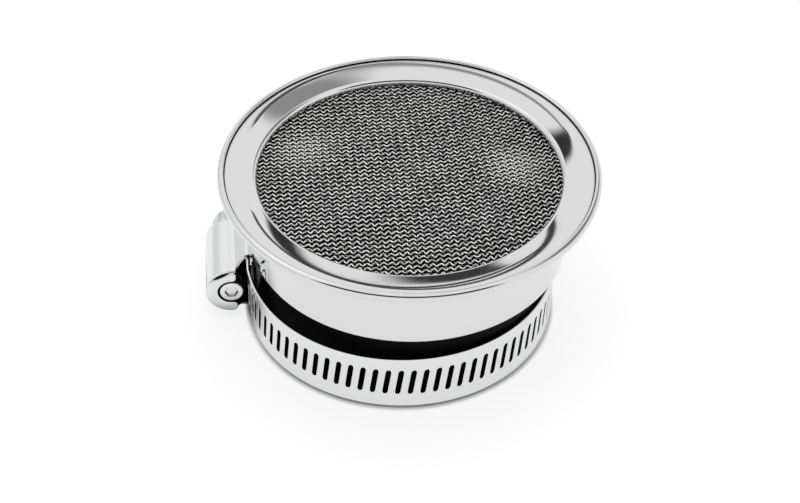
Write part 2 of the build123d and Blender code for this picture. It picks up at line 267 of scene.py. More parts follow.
class StageSettings(PropertyGroup):
    """Camera and light."""

    camera_place: location("Camera place", "Where the camera stands", (-1.633, -262.131, 246.804))
    camera_tilt: angle("Camera tilt", "From looking straight down to the camera's view", 48.352)
    camera_roll: angle("Camera roll", "Turn of the camera about its view", 0.994)
    lens: FloatProperty(name="Lens", description="Focal length in millimetres", default=76.5, unit="CAMERA")
    sky: share("Sky", "Level of the light that comes from all round", 0.55)
    lamp_size: length("Lamp size", "Width of the soft lamp overhead", 700.0)
    lamp_height: length("Lamp height", "Height of the soft lamp", 900.0)
    lamp_power: FloatProperty(name="Lamp power", description="Power of the lamp", default=7.0, unit="POWER")
    floor_size: length("Floor size", "Width of the floor", 4000.0)
    floor_shine: share("Floor shine", "Share of the floor that stays white in the shadow", 0.8)
    paper: colour("Paper", "Colour of the floor", (0.9, 0.9, 0.9))
    # Painted shadow on the floor inside the band's loop.
    loop_shadow: colour("Loop paper", "Colour of the floor inside the band's loop", (0.02, 0.02, 0.02))
    loop_fade: length("Loop fade", "Width of the change between the two colours", 1.0)
    housing_shade: share("Housing shade", "How much darker mirrors see the floor by the housing", 0.6)
    shade_start: length("Shade start", "From the housing's middle to where its shade thins out", 7.0)
    shade_end: length("Shade end", "From the housing's middle to the end of its shade", 19.0)
    card_distance: length("Card distance", "From the part to the grey cards round the studio", 6000.0)
    card_fade: share("Card fade", "Share of a card's width over which each side fades out", 0.3)


class FilterSettings(PropertyGroup):
    """All the settings of the part and its stage."""

    shell: PointerProperty(type=ShellSizes)
    ring: PointerProperty(type=RingSizes)
    mesh: PointerProperty(type=MeshSizes)
    sleeve: PointerProperty(type=SleeveSizes)
    band: PointerProperty(type=BandSizes)
    housing: PointerProperty(type=HousingSizes)
    screw: PointerProperty(type=ScrewSizes)
    finishes: PointerProperty(type=Finishes)
    stage: PointerProperty(type=StageSettings)


class Socket:
    """An output in a node tree, on which arithmetic adds Math nodes."""

    def __init__(self, tree, output=None):
        self.tree = tree
        self.output = output

    def node(self, kind, options=None, sockets=None, output=0):
        """Add a node, set it up, fill or link its sockets and give one of its outputs."""
        made = self.tree.nodes.new(kind)
        for name, value in (options or {}).items():
            setattr(made, name, value)
        for key, value in (sockets or {}).items():
            if isinstance(value, Socket):
                self.tree.links.new(value.output, made.inputs[key])
            else:
                made.inputs[key].default_value = value
        return Socket(self.tree, made.outputs[output] if made.outputs else None)

    def math(self, operation, first, second):
        """Work on two numbers."""
        return self.node("ShaderNodeMath", {"operation": operation}, {0: first, 1: second})

    def vector(self, operation, first, second, output="Vector"):
        """Work on two vectors."""
        return self.node("ShaderNodeVectorMath", {"operation": operation}, {0: first, 1: second}, output)

    def __add__(self, other):
        return self.math("ADD", self, other)

    def __sub__(self, other):
        return self.math("SUBTRACT", self, other)

    def __mul__(self, other):
        return self.math("MULTIPLY", self, other)

    def __rsub__(self, other):
        return self.math("SUBTRACT", other, self)

    __radd__ = __add__
    __rmul__ = __mul__


def settings():
    """The settings that the sidebar shows."""
    return bpy.context.scene.air_filter


def add_piece(name, primitive, scale=(1, 1, 1), **options):
    """Add a primitive by itself, with its place and scale in its mesh."""
    bpy.ops.object.select_all(action="DESELECT")
    primitive(**options)
    piece = bpy.context.object
    piece.scale = scale
    piece.name = name
    piece.data.name = name
    bpy.ops.object.transform_apply(location=True, rotation=True, scale=True)
    return piece


def dress(piece, material, node, body="filter"):
    """Give a finished piece its material and its body, and hide the node that it stands for."""
    piece.data.materials.clear()
    piece.data.materials.append(material)
    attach(piece, body)
    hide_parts(node)


def pick(piece):
    """Make a piece the active one and the only one that is selected."""
    bpy.ops.object.select_all(action="DESELECT")
    piece.select_set(True)
    bpy.context.view_layer.objects.active = piece


def apply_modifier(piece, kind, **options):
    """Add a modifier to the active piece, set it up and apply it."""
    modifier = piece.modifiers.new(kind.title(), kind)
    for name, value in options.items():
        setattr(modifier, name, value)
    bpy.ops.object.modifier_apply(modifier=modifier.name)


def round_edges(piece, width, segments):
    """Round the sharp edges of the active piece."""
    apply_modifier(piece, "BEVEL", width=width, segments=segments, angle_limit=SHARP_EDGE)


def cut(piece, cutter):
    """Take a cutter's shape out of a piece."""
    pick(piece)
    apply_modifier(piece, "BOOLEAN", operation="DIFFERENCE", object=cutter)
    bpy.data.objects.remove(cutter)


def edit():
    """Go into edit mode."""
    bpy.ops.object.mode_set(mode="EDIT")


def leave():
    """Leave edit mode."""
    bpy.ops.object.mode_set(mode="OBJECT")


def select_all():
    """In edit mode, select the whole piece."""
    bpy.ops.mesh.select_all(action="SELECT")


def face_outwards():
    """In edit mode, turn all faces outwards, and leave it."""
    select_all()
    bpy.ops.mesh.normals_make_consistent(inside=False)
    leave()


def extrude(*stride):
    """In edit mode, draw out what is selected."""
    bpy.ops.mesh.extrude_region_move(TRANSFORM_OT_translate={"value": stride})


def points_of(piece):
    """In edit mode, the places of a piece's vertices, one after another and free to be moved."""
    drawn = bmesh.from_edit_mesh(piece.data)
    for vertex in drawn.verts:
        yield vertex.co
    bmesh.update_edit_mesh(piece.data)


def select(piece, kind, wanted):
    """In edit mode, select only what passes a test of a vertex's place, an edge's ends or a face's middle."""
    bpy.ops.mesh.select_all(action="DESELECT")
    bpy.ops.mesh.select_mode(type=kind)
    drawn = bmesh.from_edit_mesh(piece.data)
    if kind == "VERT":
        tested = [(vertex, [vertex.co]) for vertex in drawn.verts]
    elif kind == "EDGE":
        tested = [(edge, [vertex.co for vertex in edge.verts]) for edge in drawn.edges]
    else:
        tested = [(face, [face.calc_center_median()]) for face in drawn.faces]
    for part, places in tested:
        part.select_set(wanted(*places))
    drawn.select_flush_mode()
    bmesh.update_edit_mesh(piece.data)


class Outline:
    """A line drawn in edit mode from a start point, by straight runs and arcs."""

    def __init__(self, name, start):
        self.piece = add_piece(name, bpy.ops.mesh.primitive_plane_add, size=MM, location=start)
        edit()
        bpy.ops.mesh.select_mode(type="VERT")
        select_all()
        bpy.ops.mesh.merge(type="CENTER")

    def tip(self):
        """The end that is drawn on from."""
        drawn = bmesh.from_edit_mesh(self.piece.data)
        return next(vertex.co.copy() for vertex in drawn.verts if vertex.select)

    def run(self, *points, steps=1):
        """Draw straight on through points."""
        for point in points:
            stride = (Vector(point) - self.tip()) / steps
            for _ in range(steps):
                bpy.ops.mesh.extrude_vertices_move(TRANSFORM_OT_translate={"value": stride})

    def arc(self, centre, axis, turn, steps):
        """Draw on round a centre. Seen along the axis, a positive turn is anticlockwise."""
        bpy.ops.mesh.spin(steps=steps, angle=turn, center=centre, axis=axis)


class Section(Outline):
    """Half section of a round piece, drawn with radius and height, and spun about the bore's axis."""

    def __init__(self, name, radius, height):
        super().__init__(name, (radius, 0, height))

    def to(self, *points):
        """Draw straight on through pairs of radius and height."""
        self.run(*[(radius, 0, height) for radius, height in points])

    def bend(self, radius, height, degrees, steps):
        """Draw on round a radius and height."""
        self.arc((radius, 0, height), (0, 1, 0), math.radians(degrees), steps)

    def spun(self, steps=ROUND_STEPS):
        """Spin the section all the way round, close it and shade it."""
        select_all()
        bpy.ops.mesh.spin(steps=steps, angle=math.tau, center=(0, 0, 0), axis=UP)
        select_all()
        bpy.ops.mesh.remove_doubles(threshold=MERGED)
        face_outwards()
        bpy.ops.object.shade_smooth_by_angle(angle=TURNED_EDGE)
        return self.piece


def new_finish(name):
    """A material with an empty tree, and a socket to build on."""
    material = bpy.data.materials.new(name)
    material.use_nodes = True
    material.node_tree.nodes.clear()
    return material, Socket(material.node_tree)


def close_finish(tree, sockets):
    """End a material's tree with a surface shader and the output."""
    surface = tree.node("ShaderNodeBsdfPrincipled", None, sockets)
    tree.node("ShaderNodeOutputMaterial", None, {"Surface": surface})


def coordinates(tree, kind="Object"):
    """Places on the piece, or its normals."""
    return tree.node("ShaderNodeTexCoord", output=kind)


def noise(tree, scale, stretch=(1, 1, 1), detail=3.0):
    """Noise over the piece's own coordinates, with its scale per metre."""
    stretched = tree.node("ShaderNodeMapping", None, {"Vector": coordinates(tree), "Scale": stretch})
    return tree.node("ShaderNodeTexNoise", None, {"Vector": stretched, "Scale": scale, "Detail": detail})


def bump(tree, height, strength, depth):
    """Normals of a surface whose height varies by a depth."""
    return tree.node("ShaderNodeBump", None, {"Strength": strength, "Distance": depth, "Height": height})


def opaque(value):
    """A colour with the alpha that sockets ask for."""
    return (*value, 1)


def blend(tree, factor, first, second):
    """Colour that goes from the first to the second as the factor goes from 0 to 1."""
    sockets = {0: factor, 6: opaque(first), 7: opaque(second)}
    return tree.node("ShaderNodeMix", {"data_type": "RGBA"}, sockets, output=2)


def radius_of(tree, centre=(0, 0, 0)):
    """Distance from an upright axis, in metres."""
    flat = tree.vector("MULTIPLY", coordinates(tree), (1, 1, 0))
    return tree.vector("DISTANCE", flat, centre, "Value")


def ramp(tree, value, start, end):
    """0 up to a start, 1 from an end on, and smooth between them."""
    sockets = {"Value": value, "From Min": start, "From Max": end}
    return tree.node("ShaderNodeMapRange", {"interpolation_type": "SMOOTHSTEP"}, sockets)


def chrome_finish(name, seam_radius):
    """Polished plate with hairline scratches and a slight waviness, and painted shade, dark and dull, outside the
    seam's radius.
    """
    material, tree = new_finish(name)
    finishes = settings().finishes
    wave = noise(tree, scale=160.0, detail=1.0)
    hairs = noise(tree, scale=900.0, stretch=(1, 0.08, 1), detail=4.0)
    fade = 0.04 * MM
    # Painted shade: dark and dull past the seam's radius.
    seam_shade = ramp(tree, radius_of(tree), seam_radius - fade, seam_radius + fade)
    close_finish(tree, {
        "Base Color": blend(tree, seam_shade, finishes.chrome, finishes.seam),
        "Metallic": 1.0,
        "Roughness": 0.015 + hairs * 0.03 + seam_shade * 0.4,
        "Normal": bump(tree, wave, strength=0.015, depth=0.1 * MM),
    })
    return material


def offset_from(tree, centre):
    """Where a point lies from a centre."""
    return tree.vector("SUBTRACT", coordinates(tree), centre)


def hidden_side(tree, centre, axis):
    """1 where a surface faces an axis through a centre, and 0 where it faces away."""
    offset = offset_from(tree, centre)
    away = tree.vector("SUBTRACT", offset, tree.vector("PROJECT", offset, axis))
    facing = tree.vector("DOT_PRODUCT", away, coordinates(tree, "Normal"), "Value")
    # The dark that this mask brings in is painted shade.
    painted_shade_start, painted_shade_full = 0.5 * MM, 1.2 * MM
    return ramp(tree, 0 - facing, painted_shade_start, painted_shade_full)


def wire_finish(name, shade, glint):
    """Drawn wire, a little duller in places, with painted glints in spots and painted highlights in two patches.
    """
    material, tree = new_finish(name)
    sizes = settings().mesh
    dull = noise(tree, scale=700.0)
    # Painted highlights in two patches, and painted glints in spots along the wire.
    left = ramp(tree, radius_of(tree, sizes.left_gleam), sizes.gleam, 0)
    right = ramp(tree, radius_of(tree, sizes.right_gleam), sizes.gleam, 0)
    glinting = ramp(tree, noise(tree, scale=1300.0, detail=1.0), 0.44, 0.54)
    painted_highlight = left * sizes.left_highlight + right + glinting * glint
    close_finish(tree, {
        "Base Color": blend(tree, painted_highlight, shade, settings().finishes.highlight_wire),
        "Metallic": 1.0,
        "Roughness": 0.14 + dull * 0.14,
    })
    return material


def rubber_finish():
    """Moulded black rubber with a fine skin."""
    material, tree = new_finish("rubber")
    skin = noise(tree, scale=2500.0)
    close_finish(tree, {
        "Base Color": opaque(settings().finishes.rubber),
        "Roughness": 0.4 + skin * 0.2,
        "Specular IOR Level": 0.05,
        "Normal": bump(tree, skin, strength=0.1, depth=0.05 * MM),
    })
    return material


def foam_finish():
    """Open cell foam."""
    material, tree = new_finish("foam")
    cells = noise(tree, scale=1400.0, detail=6.0)
    close_finish(tree, {
        "Base Color": opaque(settings().finishes.foam),
        "Roughness": 0.95,
        "Specular IOR Level": 0.1,
        "Normal": bump(tree, cells, strength=1.0, depth=0.6 * MM),
    })
    return material


def strip_finish():
    """Rolled steel strip, with a grain that runs along it and painted shade on its inside."""
    material, tree = new_finish("band_steel")
    finishes = settings().finishes
    grain = noise(tree, scale=2600.0, stretch=(0.03, 0.03, 1), detail=4.0)
    inside = hidden_side(tree, (0, 0, 0), UP)
    close_finish(tree, {
        "Base Color": blend(tree, inside, finishes.strip, finishes.painted_shade),
        "Metallic": 1.0,
        "Roughness": 0.16 + grain * 0.14,
        "Normal": bump(tree, grain, strength=0.08, depth=0.03 * MM),
    })
    return material


# Marks the worm's thread for painted shade.
def worm(tree, centre, axis):
    """1 between the screw's tail and its collar, and 0 past them."""
    sizes = settings().screw
    reach = tree.vector("DOT_PRODUCT", offset_from(tree, centre), axis, "Value")
    fade = 0.2 * MM
    after_tail = ramp(tree, reach, sizes.journal_length - fade, sizes.journal_length)
    before_collar = ramp(tree, reach, sizes.collar_start, sizes.collar_start - fade)
    return after_tail * before_collar


def zinc_finish(name, shade, extra_shade=None):
    """Zinc plate with a soft mottle, and painted shade where it faces the screw's axis and where a mask says so.
    """
    material, tree = new_finish(name)
    mottle = noise(tree, scale=500.0, detail=5.0)
    start, along = clamp_axes()[:2]
    inside = hidden_side(tree, start, along)
    if extra_shade:
        inside = tree.math("MAXIMUM", inside, extra_shade(tree, start, along))
    close_finish(tree, {
        "Base Color": blend(tree, inside, shade, settings().finishes.painted_shade),
        "Metallic": 1.0,
        "Roughness": 0.14 + mottle * 0.12,
        "Normal": bump(tree, mottle, strength=0.15, depth=0.05 * MM),
    })
    return material


class FILTER_OT_bell_shell(Operator):
    """Draw the shell's section with its turned-in edge, flare and rolled rim, and spin it"""

    bl_idname = "filter.bell_shell"
    bl_label = "Bell shell"

    def execute(self, context):
        sizes = settings().shell
        low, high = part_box("bell_shell")
        wall_r = sizes.wall_radius
        inner_r = wall_r - sizes.sheet
        bead_r = high.x - sizes.bead_radius
        bead_z = high.z - sizes.bead_radius
        curl = sizes.bead_radius - sizes.sheet
        flare_z = bead_z - sizes.bead_radius - (bead_r - wall_r)
        edge_r = wall_r - sizes.edge_radius
        edge_z = low.z + sizes.edge_radius
        section = Section("shell_spun", sizes.hole_radius, low.z)
        section.to((edge_r, low.z))
        section.bend(edge_r, edge_z, 90, 10)
        section.to((wall_r, flare_z))
        section.bend(bead_r, flare_z, -90, 28)
        section.bend(bead_r, bead_z, 180, 28)
        lip = sizes.sheet / 2
        section.to((bead_r - sizes.leaf, high.z))
        section.bend(bead_r - sizes.leaf, high.z - lip, 180, 12)
        section.to((bead_r, bead_z + curl))
        section.bend(bead_r, bead_z, -180, 14)
        section.bend(bead_r, flare_z, 90, 28)
        section.to((inner_r, edge_z))
        section.bend(edge_r, edge_z, -90, 6)
        section.to((sizes.hole_radius, low.z + sizes.sheet), (sizes.hole_radius, low.z))
        # The shell's seam radius lies past its rim, so it gets no painted shade.
        dress(section.spun(), chrome_finish("shell_chrome", 2 * high.x), "bell_shell")
        return {"FINISHED"}


class FILTER_OT_cover_ring(Operator):
    """Draw the ring's section with its border, fall and turned-down lip, and spin it"""

    bl_idname = "filter.cover_ring"
    bl_label = "Cover ring"

    def execute(self, context):
        sizes = settings().ring
        shell = settings().shell
        low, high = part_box("cover_ring")
        border_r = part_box("bell_shell")[1].x - shell.bead_radius - shell.leaf - sizes.border
        under_z = high.z - sizes.sheet
        steep = math.sin(sizes.inner_slope)
        gentle = math.sin(sizes.outer_slope)
        round_r = sizes.opening_radius + sizes.round_radius
        fall_start_z = high.z - sizes.border_step
        fall_end_r = round_r - sizes.round_radius * steep
        fall_radius = (border_r - fall_end_r) / (steep - gentle)
        fall_r = border_r + fall_radius * gentle
        fall_z = fall_start_z - fall_radius * math.cos(sizes.outer_slope)
        round_z = fall_z + (fall_radius - sizes.round_radius) * math.cos(sizes.inner_slope)
        lip_r = sizes.opening_radius + sizes.sheet / 2
        section = Section("ring_spun", high.x, high.z)
        section.to((border_r + sizes.border_step, high.z))
        section.bend(border_r + sizes.border_step, high.z - sizes.border_step, 60, 4)
        section.to((border_r, fall_start_z))
        fall = math.degrees(sizes.inner_slope - sizes.outer_slope)
        section.bend(fall_r, fall_z, fall, 20)
        section.bend(round_r, round_z, 90 - math.degrees(sizes.inner_slope), 14)
        section.to((sizes.opening_radius, low.z + sizes.sheet / 2))
        section.bend(lip_r, low.z + sizes.sheet / 2, 180, 10)
        section.to((sizes.opening_radius + sizes.sheet, round_z))
        section.bend(round_r, round_z, -90, 8)
        section.to((border_r, under_z), (high.x, under_z), (high.x, high.z))
        # Past the seam the ring gets painted shade.
        dress(section.spun(), chrome_finish("ring_chrome", border_r + sizes.seam), "cover_ring")
        return {"FINISHED"}


class FILTER_OT_wire_mesh(Operator):
    """Lay two layers of zigzag wires, whose bends meet, and trim them round"""

    bl_idname = "filter.wire_mesh"
    bl_label = "Wire mesh"

    drift_waves = ((9, 0.3), (23, -0.4))  # zigzags in a slow wave, and the wave's shift from row to row
    sway_wave = (0.37, 2.1)  # waves in a zigzag's sway for each zigzag, and their shift from row to row
    sway_spread = 0.3  # how much the sway differs
    slip = 1 / 3  # how far the drift moves the bends along a row
    lopsided = 0.35  # how much longer one flank of a zigzag is than the other
    sharpness = 0.9  # 0 for a soft wave, 1 for sharp bends

    def execute(self, context):
        sizes = settings().mesh
        finishes = settings().finishes
        upper = self.layer("mesh_upper", 0.0, 1)
        lower = self.layer("mesh_lower", 0.5, -1)
        dress(upper, wire_finish("bright_wire", finishes.wire, sizes.upper_glint), "wire_mesh")
        # The lower layer's darker wire is painted shade.
        dress(lower, wire_finish("shaded_wire", finishes.shaded_wire, sizes.lower_glint), "wire_mesh")
        return {"FINISHED"}

    def layer(self, name, shift, side):
        """One layer of rows, shifted by a share of their spacing, over or under the mesh's middle."""
        sizes = settings().mesh
        low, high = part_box("wire_mesh")
        radius = high.x - sizes.wire
        height = (low.z + high.z + side * sizes.wire) / 2
        bpy.ops.object.select_all(action="DESELECT")
        bpy.ops.curve.primitive_nurbs_path_add()
        piece = bpy.context.object
        piece.name = name
        piece.data.splines.clear()
        piece.data.bevel_depth = sizes.wire / 2
        piece.data.bevel_resolution = 1
        piece.data.use_fill_caps = True
        rows = int(radius / sizes.spacing)
        bent_rows = int(sizes.bow / sizes.spacing)
        for row in range(-rows - bent_rows, rows + 1):
            self.wire(piece.data, row + shift, radius, height, side)
        bpy.ops.object.convert(target="MESH")
        bpy.ops.object.shade_smooth()
        return bpy.context.object

    def wire(self, curve, row, radius, height, side):
        """One zigzag wire, as long as the mesh is wide there."""
        sizes = settings().mesh
        along = Vector((math.cos(sizes.heading), math.sin(sizes.heading), 0))
        across = Vector((-along.y, along.x, 0))
        stride = sizes.pitch / sizes.steps
        count = int(radius / stride)
        places = []
        for step in range(-count, count + 1):
            reach = step * stride
            turn = math.tau * step / sizes.steps
            drift = sum(math.sin(turn / zigzags + row * shift) for zigzags, shift in self.drift_waves)
            waves, shift = self.sway_wave
            uneven = 1 + self.sway_spread * math.sin(turn * waves + row * shift)
            turn += drift * self.slip - self.lopsided * math.sin(turn)
            zigzag = side * uneven * math.asin(self.sharpness * math.sin(turn)) / math.asin(self.sharpness)
            line = row * sizes.spacing + sizes.bow * (max(reach, 0) / radius) ** 2
            place = along * reach + across * (line + sizes.sway * zigzag + sizes.wander * drift)
            if place.length < radius:
                places.append(place + UP * height)
        if len(places) > sizes.steps:
            spline = curve.splines.new("POLY")
            spline.points.add(len(places) - 1)
            for point, place in zip(spline.points, places):
                point.co = (*place, 1)


class FILTER_OT_rubber_sleeve(Operator):
    """Draw the sleeve's section with its flange, lead-in and ledge, and spin it"""

    bl_idname = "filter.rubber_sleeve"
    bl_label = "Rubber sleeve"

    def execute(self, context):
        sizes = settings().sleeve
        low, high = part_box("rubber_sleeve")
        foam_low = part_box("filter_foam")[0]
        floor_z = high.z - sizes.flange
        outer_r = sizes.bore_radius + sizes.wall
        edge = sizes.edge_radius
        corner = edge / 2
        funnel_r = sizes.bore_radius + sizes.funnel_width
        ledge_r = sizes.bore_radius - sizes.ledge_width
        ledge_z = foam_low.z - sizes.ledge_thickness
        section = Section("sleeve_spun", sizes.bore_radius, low.z)
        section.to((outer_r - edge, low.z))
        section.bend(outer_r - edge, low.z + edge, 90, 6)
        section.to((outer_r, floor_z), (high.x - corner, floor_z))
        section.bend(high.x - corner, floor_z + corner, 90, 4)
        section.to((high.x, high.z - corner))
        section.bend(high.x - corner, high.z - corner, 90, 6)
        section.to((funnel_r + corner, high.z))
        section.bend(funnel_r + corner, high.z - corner, 45, 4)
        section.to((sizes.bore_radius, high.z - sizes.funnel_drop), (sizes.bore_radius, foam_low.z))
        section.to((ledge_r, foam_low.z), (ledge_r, ledge_z))
        section.to((sizes.bore_radius, ledge_z), (sizes.bore_radius, low.z))
        dress(section.spun(), rubber_finish(), "rubber_sleeve")
        return {"FINISHED"}


class FILTER_OT_filter_foam(Operator):
    """Draw the foam disc's section with rounded edges, and spin it"""

    bl_idname = "filter.filter_foam"
    bl_label = "Filter foam"

    def execute(self, context):
        low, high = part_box("filter_foam")
        edge = settings().sleeve.edge_radius
        section = Section("foam_disc", 0, low.z)
        section.to((high.x - edge, low.z))
        section.bend(high.x - edge, low.z + edge, 90, 5)
        section.to((high.x, high.z - edge))
        section.bend(high.x - edge, high.z - edge, 90, 5)
        section.to((0, high.z))
        dress(section.spun(96), foam_finish(), "filter_foam")
        return {"FINISHED"}


def clamp_axes():
    """The screw's start, its direction towards the head, and outwards from the band."""
    start = Vector(SCREW_JOINT["pos_m"])
    along = Vector(SCREW_JOINT["axis"]).normalized()
    return start, along, UP.cross(along)


def lay_on_clamp(piece, *axes):
    """Put a piece that was modelled about the origin at the screw's start, turned to the given axes."""
    pick(piece)
    place = Matrix(axes).transposed().to_4x4()
    place.translation = clamp_axes()[0]
    piece.matrix_world = place
    bpy.ops.object.transform_apply(location=True, rotation=True, scale=True)


def loop_middle():
    """Middle of the band's loop, which lies off the bore's axis."""
    sizes = settings().band
    return Matrix.Rotation(sizes.lean_angle, 3, UP) @ Vector((sizes.lean, 0, 0))


def turn_to(point, centre):
    """Direction from a centre to a point, as an angle from 0 to a full turn."""
    return math.atan2(point.y - centre.y, point.x - centre.x) % math.tau


class FILTER_OT_clamp_band(Operator):
    """Model one pitch of the slotted strip, repeat it, draw out its ends and bend it round its path"""

    bl_idname = "filter.clamp_band"
    bl_label = "Clamp band"

    columns = 14  # columns of faces in one pitch
    slot_columns = 6  # those that the slot takes
    margin = 0.1 * MM  # how much of the strip's edges stays upright
    step = 1.0 * MM  # length of the faces at the strip's ends

    def execute(self, context):
        sizes = settings().band
        path, before_slots, total = self.path()
        strip = self.slotted_run(before_slots, total)
        self.draw_out(strip, 0, -before_slots)
        run_end = max(vertex.co.x for vertex in strip.data.vertices)
        self.draw_out(strip, run_end, total - before_slots - run_end)
        self.slant(strip)
        apply_modifier(strip, "SOLIDIFY", thickness=sizes.thickness, offset=0)
        round_edges(strip, sizes.edge_round, 2)
        apply_modifier(strip, "CURVE", object=path, deform_axis="POS_X")
        bpy.data.objects.remove(path)
        bpy.ops.object.shade_smooth_by_angle(angle=FOLDED_EDGE)
        apply_modifier(strip, "WEIGHTED_NORMAL", keep_sharp=True)
        dress(strip, strip_finish(), "clamp_band")
        return {"FINISHED"}

    def path(self):
        """The strip's middle line as a curve, the length before the first slot's cell, and all of it."""
        sizes = settings().band
        housing = settings().housing
        start, along, outward = clamp_axes()
        entry = start - outward * sizes.axis_rise
        entry.z = 0
        centre = loop_middle()
        loop_r = (entry - centre).length
        head_line = entry - outward * (sizes.thickness + sizes.lap_gap)
        head_start = head_line + along * sizes.head_inset
        head_exit = head_line + along * (housing.body_length + sizes.bend_past)
        right_end = centre + Vector((loop_r, 0, 0))
        run = right_end.x - head_exit.x
        rise = head_exit.y - right_end.y
        back_r = (run**2 + rise**2) / (2 * run)
        back_centre = right_end - Vector((back_r, 0, 0))
        head_bend, head_end, back_turn = self.bend(head_line, along, outward, back_centre, back_r, 1)
        tail_bend, tail_start, front_turn = self.bend(entry, along, outward, centre, loop_r, -1)
        heading = math.atan2(along.y, along.x)
        head_turn = heading + math.pi / 2 - back_turn
        tail_turn = front_turn - math.pi / 2 - heading
        tail_end = entry + along * (housing.body_length - sizes.tail_short)
        drawn = Outline("band_path", head_start)
        drawn.run(head_end)
        drawn.arc(head_bend, UP, head_turn, 12)
        drawn.arc(back_centre, UP, back_turn, 200)
        drawn.arc(centre, UP, math.tau - front_turn, 200)
        drawn.arc(tail_bend, UP, tail_turn, 6)
        drawn.run(tail_end)
        leave()
        bpy.ops.object.convert(target="CURVE")
        before = (head_end - head_start).length + head_turn * sizes.bend_radius + back_turn * back_r
        total = before + (math.tau - front_turn) * loop_r + tail_turn * sizes.bend_radius
        total += (tail_end - tail_start).length
        before += sizes.slot_start * loop_r - sizes.slot_pitch / 2
        return bpy.context.object, before, total

    def bend(self, point, along, outward, centre, radius, side):
        """Bend that joins a line to an arc: its centre, its point on the line and its turn on the arc."""
        bend_r = settings().band.bend_radius
        offset = point - outward * bend_r - centre
        reach = offset.dot(along)
        stride = side * math.sqrt(reach**2 - offset.length_squared + (radius - bend_r) ** 2) - reach
        middle = centre + offset + along * stride
        return middle, point + along * stride, turn_to(middle, centre)

    def slotted_run(self, before, total):
        """Flat strip with slots, from one pitch that is repeated."""
        sizes = settings().band
        low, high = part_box("clamp_band")
        width = high.z - low.z
        cell = add_piece(
            "band_strip",
            bpy.ops.mesh.primitive_grid_add,
            x_subdivisions=self.columns,
            y_subdivisions=3,
            size=1,
            location=(sizes.slot_pitch / 2, 0, width / 2),
            rotation=(math.pi / 2, 0, 0),
            scale=(sizes.slot_pitch, width, 1),
        )
        column = sizes.slot_pitch / self.columns
        half_slot = self.slot_columns * column / 2
        middle_z = width / 2 + sizes.slot_rise
        straight = sizes.slot_length / 2 - half_slot
        edit()
        for point in points_of(cell):
            sideways = point.x - sizes.slot_pitch / 2
            side = round((point.z - width / 2) / (width / 6))
            if abs(side) == 1:
                bulge = math.sqrt(max(half_slot**2 - sideways**2, 0))
                point.z = middle_z + side * (straight + bulge)
        select(cell, "FACE", lambda middle: abs(middle.x - sizes.slot_pitch / 2) < half_slot
               and abs(middle.z - middle_z) < straight)
        bpy.ops.mesh.delete(type="FACE")
        leave()
        count = int((total - before) / sizes.slot_pitch)
        apply_modifier(cell, "ARRAY", count=count, use_merge_vertices=True, merge_threshold=MERGED)
        return cell

    def draw_out(self, strip, end, distance):
        """Extrude the strip's end at a place along it, by a distance, in short steps."""
        edit()
        select(strip, "VERT", lambda place: abs(place.x - end) < NEAR)
        steps = max(int(abs(distance) / self.step), 1)
        for _ in range(steps):
            extrude(distance / steps, 0, 0)
        leave()

    def slant(self, strip):
        """Lean the slots, and set the strip at its height and at the start of its path."""
        sizes = settings().band
        low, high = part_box("clamp_band")
        width = high.z - low.z
        lean = math.tan(sizes.slot_slant)
        first = min(vertex.co.x for vertex in strip.data.vertices)
        edit()
        for point in points_of(strip):
            if self.margin < point.z < width - self.margin:
                point.x -= lean * (point.z - width / 2)
            point.x -= first
            point.z += low.z
        face_outwards()


